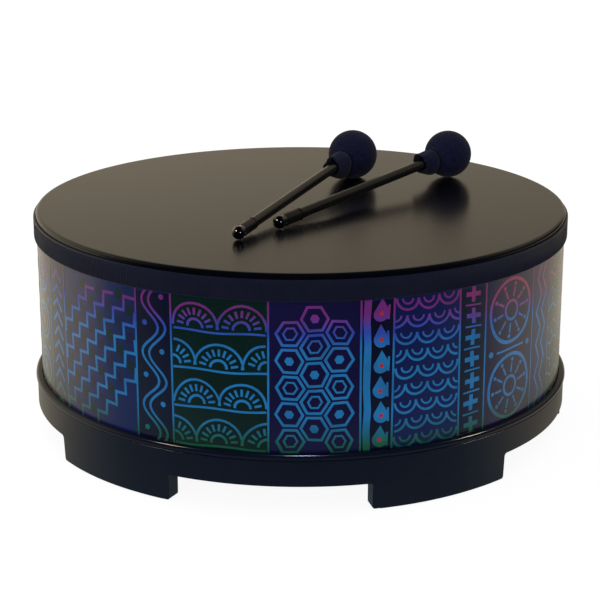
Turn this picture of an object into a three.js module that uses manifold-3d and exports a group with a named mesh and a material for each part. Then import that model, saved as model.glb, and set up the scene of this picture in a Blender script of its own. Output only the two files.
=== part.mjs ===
// Gathering drum: a low, wide floor drum with one pre-tuned head, a fibre shell
// in a printed sleeve, a moulded ring with five feet under it, and a pair of
// cloth-headed mallets lying on the head.
// Millimetres, +Z up. The origin is on the floor, at the middle of the drum.
// -Y is the side that faces the player; angles run from -Y towards +X.

import * as THREE from 'three';
import { mergeVertices } from 'three/addons/utils/BufferGeometryUtils.js';
import Module from 'manifold-3d';

const wasm = await Module();
wasm.setup();

// Driving sizes

const DRUM_SEGMENTS = 80; // facets round the drum, a multiple of 4 and of FOOT_COUNT
const ARC_STEPS = 3; // facets in a small rounded edge
const SCREW_SEGMENTS = 12;
const SHAFT_SEGMENTS = 16;
const BALL_SEGMENTS = 20; // also the end sleeve and the neck band
const CLOTH_STEPS = 9; // facets from pole to shoulder on a mallet's cloth head
const LINING_STEPS = 6; // facets from pole to mouth, alike on a mallet's core and inside its cover
const FIT = 0.3; // clearance where one piece sits in or on another

const SLEEVE_RADIUS = 279.4; // outside of the printed sleeve: a drum 22 inches across
const SLEEVE_THICKNESS = 0.5;
const SLEEVE_GLUE = 0.2; // adhesive between sleeve and shell
const SHELL_WALL = 6;
const HEAD_HEIGHT = 236.5; // floor to playing face

const FILM_THICKNESS = 0.8; // laminated head film with its suede coat
const FILM_SHOULDER = 3.3; // outer radius of the bend over the bearing edge

const HOOP_HEIGHT = 21.3;
const HOOP_WALL = 2.2;
const HOOP_DROP = 5.1; // playing face down to the top of the hoop
const HOOP_LIP = 2.9; // height of the inward lip along the hoop's lower edge
const HOOP_ROUND = 0.8; // rounding along both outer edges of the hoop
const FLESH_HOOP_WALL = 0.8;
const FLESH_HOOP_HEIGHT = 5.4;

const FOOT_COUNT = 5;
const FOOT_TURN = 29.7; // degrees from -Y to the middle of the first foot
const FOOT_WIDTH = 156; // along the outside of the ring
const FOOT_HEIGHT = 28.3; // floor to the ring's underside between two feet
const FOOT_DRAFT = 1.3; // how far a foot leans in from ring to floor
const FOOT_CORNER = 6; // rounding of a foot's two lower corners
const FOOT_FILLET = 3; // fillet where a foot joins the ring
const PAD_THICKNESS = 1.6;
const PAD_INSET = 3; // edge of a foot in to the edge of its rubber pad

const RING_STAND_OUT = 5.5; // sleeve out to the ring's plain wall
const RING_HEIGHT = 32.8; // underside to the top of the bead
const RING_WALL = 2.9;
const RING_FLOOR = 3;
const RING_INNER_HEIGHT = 19.7; // underside to the top of the inner wall
const BEAD_HEIGHT = 6.5; // the rounded bead along the ring's top
const BEAD_PROUD = 1.4; // how far the bead stands out from the plain wall
const BEAD_LIP = 1.7; // depth of the bead's bearing on the sleeve
const GROOVE_DEPTH = 0.7; // groove between wall and bead
const RIB_REACH = 3.8; // inner wall out to the shell, spanned by ribs and screw bosses
const RIB_THICKNESS = 2.2;
const RIBS_PER_BAY = 3; // between two screws

const SCREW_SHANK = 2; // radius
const SCREW_HEAD_RADIUS = 4.2;
const SCREW_HEAD_HEIGHT = 2.4;
const SCREW_HEAD_SHARE = 0.8; // radius of the head's flat crown, of its full radius
const SCREW_HEAD_RIM = 0.6; // where the head's round ends, of its height
const SCREW_COVER = 1.8; // shell left in front of a screw's tip
const SCREW_HEIGHT = 11.7; // ring's underside to a screw's axis
const BOSS_WIDTH = 14;

const MALLET_REACH = 298; // middle of the end ball to middle of the cloth head
const MALLET_HEAD_RADIUS = 26;
const MALLET_SHAFT_RADIUS = 5.4;
const MALLET_CLOTH_THICKNESS = 2.3; // cloth and lining over the core
const MALLET_CROWN = 7.4; // solid core left above the end of the shaft
const MALLET_SHOULDER = 62; // degrees below the head's equator where the cloth turns to the neck
const MALLET_NECK_GAP = 6; // shoulder down to the middle of the neck band
const MALLET_BAND_WIDTH = 3.4;
const MALLET_BAND_THICKNESS = 1.3;
const MALLET_BAND_EDGE = 0.7; // thickness at the band's two edges, of its full thickness
const MALLET_NECK_CLOTH_THICKNESS = 2; // gathered cloth under the band
const MALLET_SKIRT_LENGTH = 28; // the loose cloth below the band
const MALLET_FLARE_LENGTH = 4.4; // how far the skirt's hem stands out from the neck
const MALLET_SKIRT_BELL = 0.75; // flare reached halfway down the skirt, of its full flare
const MALLET_SKIRT_THICKNESS = 1.7;
const MALLET_PLEATS = 9;
const MALLET_PLEAT_DEPTH = 1.5;
const END_BALL_RADIUS = 6.8;
const END_SLEEVE_WALL = 0.75;
const END_SLEEVE_LENGTH = 25;

// Where each mallet lies: its end ball's place on +X and +Y, in shares of the
// sleeve's radius, and its heading in degrees from +Y towards +X
const MALLETS = [
  { name: 'mallet_left', across: -0.2169, along: -0.5641, heading: 23.7 },
  { name: 'mallet_right', across: -0.0759, along: -0.413, heading: 38.9 },
];

// Sizes that follow from the driving ones

const sleeveInner = SLEEVE_RADIUS - SLEEVE_THICKNESS;
const shellOuter = sleeveInner - SLEEVE_GLUE;
const shellInner = shellOuter - SHELL_WALL;
const shellBottom = FOOT_HEIGHT + RING_FLOOR;
const filmUnder = HEAD_HEIGHT - FILM_THICKNESS;
const shellTop = filmUnder - FIT;
const filmOuter = shellOuter + FIT + FILM_THICKNESS;
const hoopInner = filmOuter + FIT;
const hoopOuter = hoopInner + HOOP_WALL;
const hoopTop = HEAD_HEIGHT - HOOP_DROP;
const hoopBottom = hoopTop - HOOP_HEIGHT;
const hoopLipTop = hoopBottom + HOOP_LIP;
const filmBottom = hoopLipTop + FIT;
const sleeveTop = hoopBottom + HOOP_LIP / 2;
const sleeveBottom = shellBottom + FIT;
const ringOuter = SLEEVE_RADIUS + RING_STAND_OUT;
const ringInner = shellInner - RIB_REACH - RING_WALL;
const ringTop = FOOT_HEIGHT + RING_HEIGHT;
const footRise = FOOT_HEIGHT - PAD_THICKNESS;
const footPitch = 360 / FOOT_COUNT;
const cosFacet = Math.cos(Math.PI / DRUM_SEGMENTS);

const shaftBore = MALLET_SHAFT_RADIUS + FIT;
const coreRadius = MALLET_HEAD_RADIUS - MALLET_CLOTH_THICKNESS - FIT;
const shaftEnd = MALLET_REACH + coreRadius - MALLET_CROWN;
const neckOuter = shaftBore + MALLET_NECK_CLOTH_THICKNESS;
const skirtRadius = neckOuter + MALLET_FLARE_LENGTH;
const bellRadius = neckOuter + MALLET_FLARE_LENGTH * MALLET_SKIRT_BELL;
const endSleeveRadius = shaftBore + END_SLEEVE_WALL;
const coverSegments = 4 * MALLET_PLEATS;

const radians = THREE.MathUtils.degToRad;
const degrees = THREE.MathUtils.radToDeg;
const neckZ = MALLET_REACH - MALLET_HEAD_RADIUS * Math.sin(radians(MALLET_SHOULDER)) - MALLET_NECK_GAP;

// Materials

function finish(color, roughness, metalness = 0) {
  return new THREE.MeshStandardMaterial({ color, roughness, metalness });
}

const suedeFilm = finish(0x58514a, 0.85);
const satinBlack = finish(0x15161c, 0.42);
const ribbedBlack = finish(0x14141d, 0.5);
const printedGloss = finish(0x1a2a63, 0.15);
const fibreboard = finish(0x6b5238, 0.9);
const steelBand = finish(0x8d9094, 0.4, 0.9);
const blackScrew = finish(0x2b2c2f, 0.35, 0.9);
const padRubber = finish(0x101012, 0.9);
const glossShaft = finish(0x17181b, 0.22);
const mattSleeve = finish(0x2c2826, 0.7);
const glossBall = finish(0x08080c, 0.06);
const knitCloth = finish(0x15161f, 0.95);
const coreFoam = finish(0x3a3a3c, 0.9);
const bandElastic = finish(0x0e0e12, 0.8);

// Geometry helpers

// Points of a rounded corner, from one angle to another (degrees, 0 along +r, 90 along +z).
function corner(r, z, radius, from, to, steps = ARC_STEPS) {
  const points = [];
  for (let i = 0; i <= steps; i += 1) {
    const a = radians(from + ((to - from) * i) / steps);
    points.push([r + radius * Math.cos(a), z + radius * Math.sin(a)]);
  }
  return points;
}

// Turns a profile of [radius, height] points about +Z. A ring's profile runs
// anticlockwise and is closed here; a solid's runs from the axis to the axis.
function revolve(profile, segments) {
  const onAxis = profile[0][0] === 0;
  const outline = onAxis ? profile : [...profile, profile[0]];
  const points = outline.map(([r, z]) => new THREE.Vector2(r, z));
  const lathe = new THREE.LatheGeometry(points, segments);
  lathe.rotateX(Math.PI / 2);
  return lathe;
}

// Welds a geometry's corners that lie within this distance, and drops the slivers left.
const WELD = 1e-4;

function toSolid(geometry) {
  const bare = geometry.clone();
  bare.deleteAttribute('normal');
  bare.deleteAttribute('uv');
  const merged = mergeVertices(bare, WELD);
  const corners = merged.index.array;
  const kept = [];
  for (let i = 0; i < corners.length; i += 3) {
    const [a, b, c] = [corners[i], corners[i + 1], corners[i + 2]];
    if (a !== b && b !== c && c !== a) {
      kept.push(a, b, c);
    }
  }
  return new wasm.Manifold(new wasm.Mesh({
    numProp: 3,
    vertProperties: merged.attributes.position.array,
    triVerts: new Uint32Array(kept),
  }));
}

function toGeometry(solid) {
  const made = solid.getMesh();
  const geometry = new THREE.BufferGeometry();
  geometry.setAttribute('position', new THREE.BufferAttribute(made.vertProperties, 3));
  geometry.setIndex(new THREE.BufferAttribute(made.triVerts, 1));
  const flat = geometry.toNonIndexed();
  flat.computeVertexNormals();
  return flat;
}

// A point on the drum: angle in radians from -Y towards +X.
function polar(radius, angle, z) {
  return [radius * Math.sin(angle), -radius * Math.cos(angle), z];
}

// A block that follows the drum's curve, lofted from levels of
// { z, half, outer, inner }: half is its half width along the outside.
// Between its two sides its corners share the angles of the drum's own facets,
// but for a facet's angle that would come too near to a side.
const SIDE_MARGIN = 0.2; // of a facet

function curvedBlock(levels, middle) {
  const positions = [];
  const index = [];
  const facet = (2 * Math.PI) / DRUM_SEGMENTS;
  const narrowest = Math.min(...levels.map(({ half }) => half)) / ringOuter;
  const first = Math.ceil((middle - narrowest) / facet + SIDE_MARGIN);
  const last = Math.floor((middle + narrowest) / facet - SIDE_MARGIN);
  const shared = Array.from({ length: last - first + 1 }, (_, i) => (first + i) * facet);
  const steps = shared.length + 1;
  const count = 2 * (steps + 1);
  for (const { z, half, outer, inner } of levels) {
    const spread = half / ringOuter;
    const angles = [middle - spread, ...shared, middle + spread];
    angles.forEach((angle) => positions.push(...polar(outer, angle, z)));
    angles.reverse().forEach((angle) => positions.push(...polar(inner, angle, z)));
  }
  for (let level = 0; level < levels.length - 1; level += 1) {
    const low = level * count;
    const high = low + count;
    for (let i = 0; i < count; i += 1) {
      const next = (i + 1) % count;
      index.push(low + i, low + next, high + next, low + i, high + next, high + i);
    }
  }
  const top = (levels.length - 1) * count;
  for (let i = 0; i < steps; i += 1) {
    const [a, b, c, d] = [i, i + 1, count - 2 - i, count - 1 - i];
    index.push(a, c, b, a, d, c);
    index.push(top + a, top + b, top + c, top + a, top + c, top + d);
  }
  const geometry = new THREE.BufferGeometry();
  geometry.setAttribute('position', new THREE.Float32BufferAttribute(positions, 3));
  geometry.setIndex(index);
  return geometry;
}

// A box on the drum's radius at an angle, from one radius to another.
function radialBox(angle, fromRadius, toRadius, width, low, high) {
  const box = new THREE.BoxGeometry(width, toRadius - fromRadius, high - low);
  box.translate(0, -(fromRadius + toRadius) / 2, (low + high) / 2);
  box.rotateZ(angle);
  return box;
}

// A cylinder on the drum's radius at an angle, from one radius to another.
function radialBore(angle, fromRadius, toRadius, radius, z) {
  const bore = new THREE.CylinderGeometry(radius, radius, toRadius - fromRadius, SCREW_SEGMENTS);
  bore.translate(0, -(fromRadius + toRadius) / 2, z);
  bore.rotateZ(angle);
  return bore;
}

const drum = new THREE.Group();

function add(parent, name, geometry, material) {
  const mesh = new THREE.Mesh(geometry, material);
  mesh.name = name;
  parent.add(mesh);
  return mesh;
}

const footAngles = Array.from({ length: FOOT_COUNT }, (_, i) => radians(FOOT_TURN + footPitch * i));
const screwAngles = footAngles.map((angle) => angle + radians(footPitch / 2));
const screwZ = FOOT_HEIGHT + SCREW_HEIGHT;
const screwSeat = ringInner * cosFacet - FIT;
const screwTip = shellOuter - SCREW_COVER;
const boreRadius = SCREW_SHANK + FIT;

// Shell: a fibre cylinder with a rounded bearing edge and a blind hole for each screw

function makeShell() {
  const round = FILM_SHOULDER - FILM_THICKNESS;
  const profile = [
    [shellInner, shellBottom],
    [shellOuter, shellBottom],
    ...corner(shellOuter - round, shellTop - round, round, 0, 90),
    [shellInner, shellTop],
  ];
  let shell = toSolid(revolve(profile, DRUM_SEGMENTS));
  for (const angle of screwAngles) {
    const hole = radialBore(angle, ringInner, screwTip + FIT, boreRadius, screwZ);
    shell = shell.subtract(toSolid(hole));
  }
  return toGeometry(shell);
}

// Printed sleeve: a thin glossy laminate round the shell, tucked under the hoop and into the ring

function makeSleeve() {
  return revolve([
    [sleeveInner, sleeveBottom],
    [SLEEVE_RADIUS, sleeveBottom],
    [SLEEVE_RADIUS, sleeveTop],
    [sleeveInner, sleeveTop],
  ], DRUM_SEGMENTS);
}

// Head: film that bends over the bearing edge and runs down outside the shell as a collar

function makeHead() {
  const bendR = filmOuter - FILM_SHOULDER;
  const bendZ = HEAD_HEIGHT - FILM_SHOULDER;
  return revolve([
    [0, filmUnder],
    ...corner(bendR, bendZ, FILM_SHOULDER - FILM_THICKNESS, 90, 0),
    [filmOuter - FILM_THICKNESS, filmBottom],
    [filmOuter, filmBottom],
    ...corner(bendR, bendZ, FILM_SHOULDER, 0, 90),
    [0, HEAD_HEIGHT],
  ], DRUM_SEGMENTS);
}

// Flesh hoop: the flat band bonded round the foot of the film's collar

const fleshBottom = hoopLipTop + FIT;

function makeFleshHoop() {
  return revolve([
    [hoopInner, fleshBottom],
    [hoopInner + FLESH_HOOP_WALL, fleshBottom],
    [hoopInner + FLESH_HOOP_WALL, fleshBottom + FLESH_HOOP_HEIGHT],
    [hoopInner, fleshBottom + FLESH_HOOP_HEIGHT],
  ], DRUM_SEGMENTS);
}

// Ribbed hoop: clamps the collar; its lower lip carries the flesh hoop in a recess

function makeRibbedHoop() {
  const recess = hoopInner + FLESH_HOOP_WALL + FIT;
  const recessTop = fleshBottom + FLESH_HOOP_HEIGHT + FIT;
  const lipInner = SLEEVE_RADIUS + FIT;
  return revolve([
    [lipInner, hoopBottom],
    [hoopOuter - HOOP_ROUND, hoopBottom],
    ...corner(hoopOuter - HOOP_ROUND, hoopBottom + HOOP_ROUND, HOOP_ROUND, -45, 0, 1),
    ...corner(hoopOuter - HOOP_ROUND, hoopTop - HOOP_ROUND, HOOP_ROUND, 0, 90, 2),
    [hoopInner, hoopTop],
    [hoopInner, recessTop],
    [recess, recessTop],
    [recess, hoopLipTop],
    [lipInner, hoopLipTop],
  ], DRUM_SEGMENTS);
}

// Base ring: a moulded channel that takes the shell, with a bead that hugs the
// sleeve and five hollow feet whose sides and corners are rounded

// One level of a foot, or of the pocket inside it, set in by a wall.
function footLevel(z, half, wall) {
  const lean = FOOT_DRAFT * Math.max(0, (FOOT_HEIGHT - z) / footRise);
  return { z, half, outer: ringOuter - wall - lean, inner: ringInner + wall };
}

function makeFoot(angle) {
  const half = FOOT_WIDTH / 2;
  const rounded = corner(half - FOOT_CORNER, PAD_THICKNESS + FOOT_CORNER, FOOT_CORNER, -90, 0);
  const fillet = corner(half + FOOT_FILLET, FOOT_HEIGHT - FOOT_FILLET, FOOT_FILLET, 180, 90, 2);
  const levels = [...rounded, ...fillet].map(([width, z]) => footLevel(z, width, 0));
  levels.push(footLevel(FOOT_HEIGHT + RING_FLOOR / 2, half, RING_WALL / 2));
  return toSolid(curvedBlock(levels, angle));
}

function makeFootPocket(angle) {
  const half = FOOT_WIDTH / 2 - RING_WALL;
  const bottom = PAD_THICKNESS + RING_WALL;
  return toSolid(curvedBlock([
    footLevel(bottom, half - FOOT_CORNER / 2, RING_WALL),
    footLevel(bottom + FOOT_CORNER / 2, half, RING_WALL),
    footLevel(shellBottom + RING_FLOOR, half, RING_WALL),
  ], angle));
}

function makeBaseRing() {
  const beadBottom = ringTop - BEAD_HEIGHT;
  const lipInner = SLEEVE_RADIUS + FIT;
  const wallInner = ringOuter - RING_WALL;
  const innerOuter = ringInner + RING_WALL;
  const innerTop = FOOT_HEIGHT + RING_INNER_HEIGHT;
  const beadRadius = BEAD_HEIGHT / 2;
  const channel = revolve([
    [ringInner, FOOT_HEIGHT],
    [ringOuter, FOOT_HEIGHT],
    [ringOuter, beadBottom - GROOVE_DEPTH],
    [ringOuter - GROOVE_DEPTH, beadBottom],
    ...corner(ringOuter + BEAD_PROUD - beadRadius, beadBottom + beadRadius, beadRadius, -60, 90, 4),
    [lipInner, ringTop],
    [lipInner, ringTop - BEAD_LIP],
    [wallInner, beadBottom - GROOVE_DEPTH],
    [wallInner, shellBottom],
    [innerOuter, shellBottom],
    [innerOuter, innerTop],
    [ringInner, innerTop],
  ], DRUM_SEGMENTS);
  let ring = toSolid(channel);
  for (const angle of footAngles) {
    ring = ring.add(makeFoot(angle));
  }
  for (const angle of footAngles) {
    ring = ring.subtract(makeFootPocket(angle));
  }
  const ribTip = shellInner * cosFacet - FIT;
  const ribRoot = ringInner + RING_WALL / 2;
  const ribBottom = shellBottom - RING_FLOOR / 2;
  const bayStep = radians(footPitch / (RIBS_PER_BAY + 1));
  for (const angle of screwAngles) {
    const boss = radialBox(angle, ribRoot, ribTip, BOSS_WIDTH, ribBottom, innerTop);
    ring = ring.add(toSolid(boss));
    for (let i = 1; i <= RIBS_PER_BAY; i += 1) {
      const rib = radialBox(angle + i * bayStep, ribRoot, ribTip, RIB_THICKNESS, ribBottom, innerTop);
      ring = ring.add(toSolid(rib));
    }
  }
  for (const angle of screwAngles) {
    const hole = radialBore(angle, ringInner - RING_WALL, shellInner + FIT, boreRadius, screwZ);
    ring = ring.subtract(toSolid(hole));
  }
  return toGeometry(ring);
}

// Rubber pads: one flat pad under each foot, inside its outline

function makePad(angle) {
  const half = FOOT_WIDTH / 2 - FOOT_CORNER - PAD_INSET;
  const outer = ringOuter - FOOT_DRAFT - PAD_INSET;
  const inner = ringInner + PAD_INSET;
  return curvedBlock([
    { z: 0, half, outer, inner },
    { z: PAD_THICKNESS, half, outer, inner },
  ], angle);
}

// Screws: pan heads inside the ring, driven outwards through its bosses into the shell

function makeScrew() {
  const tip = SCREW_HEAD_HEIGHT + screwTip - screwSeat;
  return revolve([
    [0, 0],
    [SCREW_HEAD_RADIUS * SCREW_HEAD_SHARE, 0],
    [SCREW_HEAD_RADIUS, SCREW_HEAD_HEIGHT * SCREW_HEAD_RIM],
    [SCREW_HEAD_RADIUS, SCREW_HEAD_HEIGHT],
    [SCREW_SHANK, SCREW_HEAD_HEIGHT],
    [SCREW_SHANK, tip - SCREW_SHANK],
    [0, tip],
  ], SCREW_SEGMENTS);
}

// Mallets. Each is built along +Z, from the middle of its end ball at 0 to the
// middle of its cloth head at MALLET_REACH.

function makeShaft() {
  return revolve([
    [0, 0],
    [MALLET_SHAFT_RADIUS, 0],
    [MALLET_SHAFT_RADIUS, shaftEnd],
    [0, shaftEnd],
  ], SHAFT_SEGMENTS);
}

function makeEndBall() {
  const mouth = degrees(Math.acos(shaftBore / END_BALL_RADIUS));
  return revolve([
    [0, -END_BALL_RADIUS],
    ...corner(0, 0, END_BALL_RADIUS, -90, mouth, 8).slice(1),
    [shaftBore, -FIT],
    [0, -FIT],
  ], BALL_SEGMENTS);
}

function makeEndSleeve() {
  const start = END_BALL_RADIUS + FIT;
  const end = start + END_SLEEVE_LENGTH;
  const chamfer = END_SLEEVE_WALL / 2;
  return revolve([
    [shaftBore, start],
    [endSleeveRadius, start],
    [endSleeveRadius, end - chamfer],
    [endSleeveRadius - chamfer, end],
    [shaftBore, end],
  ], BALL_SEGMENTS);
}

function makeCore() {
  const mouth = degrees(Math.acos(shaftBore / coreRadius));
  return revolve([
    [0, shaftEnd + FIT],
    [shaftBore, shaftEnd + FIT],
    ...corner(0, MALLET_REACH, coreRadius, -mouth, 90, LINING_STEPS).slice(0, -1),
    [0, MALLET_REACH + coreRadius],
  ], coverSegments);
}

// The cloth cover: a ball drawn in at the neck by a band, then flaring out as a pleated skirt
function makeCover() {
  const bandHalf = MALLET_BAND_WIDTH / 2 + FIT;
  const hem = neckZ - bandHalf - MALLET_SKIRT_LENGTH;
  const belly = hem + MALLET_SKIRT_LENGTH / 2;
  const lining = coreRadius + FIT;
  const mouth = degrees(Math.acos(shaftBore / lining));
  const inside = corner(0, MALLET_REACH, lining, 90, -mouth, LINING_STEPS).slice(1);
  const outside = corner(0, MALLET_REACH, MALLET_HEAD_RADIUS, -MALLET_SHOULDER, 90, CLOTH_STEPS).slice(0, -1);
  const cover = revolve([
    [0, MALLET_REACH + lining],
    ...inside,
    [shaftBore, neckZ - bandHalf],
    [bellRadius - MALLET_SKIRT_THICKNESS, belly],
    [skirtRadius - MALLET_SKIRT_THICKNESS, hem],
    [skirtRadius, hem],
    [bellRadius, belly],
    [neckOuter, neckZ - bandHalf],
    [neckOuter, neckZ + bandHalf],
    ...outside,
    [0, MALLET_REACH + MALLET_HEAD_RADIUS],
  ], coverSegments);
  pleat(cover, hem, neckZ - bandHalf);
  return cover;
}

// Waves the skirt in and out round the shaft, most at its hem and not at all at the neck.
function pleat(geometry, hem, neck) {
  const place = geometry.attributes.position;
  for (let i = 0; i < place.count; i += 1) {
    const z = place.getZ(i);
    if (z < neck) {
      const reach = (neck - z) / (neck - hem);
      const angle = Math.atan2(place.getX(i), -place.getY(i));
      const radius = Math.hypot(place.getX(i), place.getY(i));
      const wave = Math.cos(MALLET_PLEATS * angle);
      const moved = radius + MALLET_PLEAT_DEPTH * reach * wave;
      place.setX(i, (place.getX(i) * moved) / radius);
      place.setY(i, (place.getY(i) * moved) / radius);
    }
  }
}

function makeNeckBand() {
  const inner = neckOuter + FIT;
  const edge = inner + MALLET_BAND_THICKNESS * MALLET_BAND_EDGE;
  const half = MALLET_BAND_WIDTH / 2;
  return revolve([
    [inner, neckZ - half],
    [edge, neckZ - half],
    [inner + MALLET_BAND_THICKNESS, neckZ],
    [edge, neckZ + half],
    [inner, neckZ + half],
  ], BALL_SEGMENTS);
}

// The end ball and the cloth head both rest on the head, so the shaft slopes up to the larger one.
function makeMallet({ name, across, along, heading }) {
  const mallet = new THREE.Group();
  add(mallet, `${name}_shaft`, makeShaft(), glossShaft);
  add(mallet, `${name}_end_ball`, makeEndBall(), glossBall);
  add(mallet, `${name}_end_sleeve`, makeEndSleeve(), mattSleeve);
  add(mallet, `${name}_core`, makeCore(), coreFoam);
  add(mallet, `${name}_cover`, makeCover(), knitCloth);
  add(mallet, `${name}_neck_band`, makeNeckBand(), bandElastic);
  const slope = Math.asin((MALLET_HEAD_RADIUS - END_BALL_RADIUS) / MALLET_REACH);
  mallet.rotation.order = 'ZXY';
  mallet.rotation.set(slope - Math.PI / 2, 0, -radians(heading));
  mallet.position.set(
    across * SLEEVE_RADIUS,
    along * SLEEVE_RADIUS,
    HEAD_HEIGHT + FIT + END_BALL_RADIUS,
  );
  return mallet;
}

// Assembly

add(drum, 'shell', makeShell(), fibreboard);
add(drum, 'printed_sleeve', makeSleeve(), printedGloss);
add(drum, 'drumhead', makeHead(), suedeFilm);
add(drum, 'flesh_hoop', makeFleshHoop(), steelBand);
add(drum, 'ribbed_hoop', makeRibbedHoop(), ribbedBlack);
add(drum, 'base_ring', makeBaseRing(), satinBlack);

footAngles.forEach((angle, i) => {
  add(drum, `foot_pad_${i + 1}`, makePad(angle), padRubber);
});

// A screw's own +Z points outwards along the drum's radius once it is laid over.
screwAngles.forEach((angle, i) => {
  const screw = add(drum, `base_screw_${i + 1}`, makeScrew(), blackScrew);
  screw.rotation.order = 'ZXY';
  screw.rotation.set(Math.PI / 2, 0, angle);
  screw.position.set(...polar(screwSeat - SCREW_HEAD_HEIGHT, angle, screwZ));
});

for (const place of MALLETS) {
  drum.add(makeMallet(place));
}

export default drum;
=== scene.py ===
import math

import bpy
from bpy.props import FloatProperty, FloatVectorProperty, IntProperty, PointerProperty
from mathutils import Matrix, Vector


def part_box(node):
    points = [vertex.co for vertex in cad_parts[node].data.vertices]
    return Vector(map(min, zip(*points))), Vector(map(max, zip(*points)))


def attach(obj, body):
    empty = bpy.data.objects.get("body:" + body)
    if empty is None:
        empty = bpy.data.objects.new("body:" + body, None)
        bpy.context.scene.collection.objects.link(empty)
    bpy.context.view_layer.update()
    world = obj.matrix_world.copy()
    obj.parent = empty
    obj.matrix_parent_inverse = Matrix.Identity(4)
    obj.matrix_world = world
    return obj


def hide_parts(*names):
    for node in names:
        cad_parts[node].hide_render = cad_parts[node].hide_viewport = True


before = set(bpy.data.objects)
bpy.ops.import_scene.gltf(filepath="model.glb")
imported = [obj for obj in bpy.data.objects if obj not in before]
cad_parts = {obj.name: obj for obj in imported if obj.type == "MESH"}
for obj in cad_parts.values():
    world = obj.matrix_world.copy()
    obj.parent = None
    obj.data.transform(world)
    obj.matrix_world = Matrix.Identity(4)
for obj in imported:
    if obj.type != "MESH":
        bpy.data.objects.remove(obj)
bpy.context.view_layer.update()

bl_info = {
    "name": "Gathering Drum",
    "version": (1, 0, 0),
    "blender": (4, 5, 0),
    "location": "3D View > Sidebar > Drum",
    "description": "A floor drum on a footed ring, with a printed sleeve and two cloth-headed mallets",
    "category": "Add Mesh",
}

MM = 0.001
CLEARANCE = 0.3 * MM
MERGE_DISTANCE = 1e-6

# Directions of the feet, and of the screws between them

FEET = [math.radians(29.7 + 72 * i) for i in range(5)]
SCREWS = [angle + math.radians(36) for angle in FEET]

# Each mallet's place, heading and cloth, in millimetres and degrees

MALLETS = {
    "mallet_left": {
        "ball": (-60.6, -157.6), "heading": 23.7, "cloth": 27,
        "hem": 57, "sag": 6.5, "notch": 2.5, "turn": 40},
    "mallet_right": {
        "ball": (-21.2, -115.4), "heading": 38.9, "cloth": 26,
        "hem": 52, "sag": 3.5, "notch": 0.0, "turn": 205},
}

# Lamps: name, place, size, power, colour, and the pieces that a glint is kept to

WHITE = (1.0, 1.0, 1.0)
WARM = (1.0, 0.8, 0.55)
COOL = (0.55, 0.72, 1.0)
RING = ["ring_moulding"]
END_BALLS = [f"{mallet}_bead" for mallet in MALLETS]
LAMPS = [
    ("key_lamp", (-0.9, 0.9, 2.2), 1.3, 8, WHITE, []),
    ("front_lamp", (-0.3, -2.4, 0.7), 1.6, 19, WHITE, []),
    ("left_glint", (-1.0, -0.44, 1.28), 0.25, 7, WARM, RING),
    ("right_glint", (1.205, -0.1, 1.13), 0.25, 7, WARM, RING),
    ("front_glint", (0.01, -0.6, 1.45), 0.2, 9, COOL, RING),
    ("warm_glint", (-0.91, -0.82, 1.1), 0.4, 10, WARM, END_BALLS),
    ("cool_glint", (0.7, -1.4, 0.6), 0.3, 5, COOL, END_BALLS),
]


def rgb(code):
    """A hex colour as linear red, green and blue."""
    parts = [int(code[i:i + 2], 16) / 255 for i in (1, 3, 5)]
    return tuple(p / 12.92 if p <= 0.04045 else ((p + 0.055) / 1.055) ** 2.4 for p in parts)


def length(name, description, default):
    return FloatProperty(name=name, description=description, default=default * MM, unit="LENGTH")


def colour(name, description, code):
    return FloatVectorProperty(
        name=name, description=description, default=rgb(code), subtype="COLOR", size=3, min=0, max=1)


# Sizes and colours that a user may change

class DrumSizes(bpy.types.PropertyGroup):
    sleeve_radius: length("Sleeve radius", "Outside of the printed sleeve", 279.4)
    head_height: length("Head height", "Floor to the playing face", 236.5)
    head_radius: length("Head radius", "Outside of the film's collar", 279.8)
    head_shoulder: length("Head shoulder", "Radius of the film's bend over the shell", 3.3)
    hoop_radius: length("Hoop radius", "Outside of the ribbed hoop", 282.3)
    hoop_low: length("Hoop's lower edge", "Floor to the underside of the hoop", 210.1)
    hoop_high: length("Hoop's upper edge", "Floor to the top of the hoop", 231.4)
    rib_depth: length("Rib depth", "Depth of the grooves between the hoop's ribs", 0.9)
    rib_count: IntProperty(name="Ribs", description="Upright ribs round the hoop", default=920, min=100)
    ring_radius: length("Ring radius", "Plain wall of the base ring", 284.9)
    ring_inner: length("Ring's inner radius", "Inside of the base ring", 266)
    ring_low: length("Ring's underside", "Floor to the ring between two feet", 28.3)
    ring_high: length("Ring's upper edge", "Floor to the top of the ring's bead", 61.1)
    foot_width: length("Foot width", "Along the outside of the ring", 156)
    pad_height: length("Pad height", "Thickness of a rubber pad", 1.6)
    print_height: length("Print thickness", "How far the ink layers stand out from the sleeve", 0.12)
    shaft_radius: length("Shaft radius", "Radius of a mallet's shaft", 5.4)
    mallet_reach: length("Mallet reach", "End ball to the middle of the cloth head", 298)
    cloth_radius: length("Cloth head radius", "Height of a cloth head's middle over the playing face", 26)
    end_ball: length("End ball radius", "Radius of a mallet's end ball", 6.8)


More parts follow.
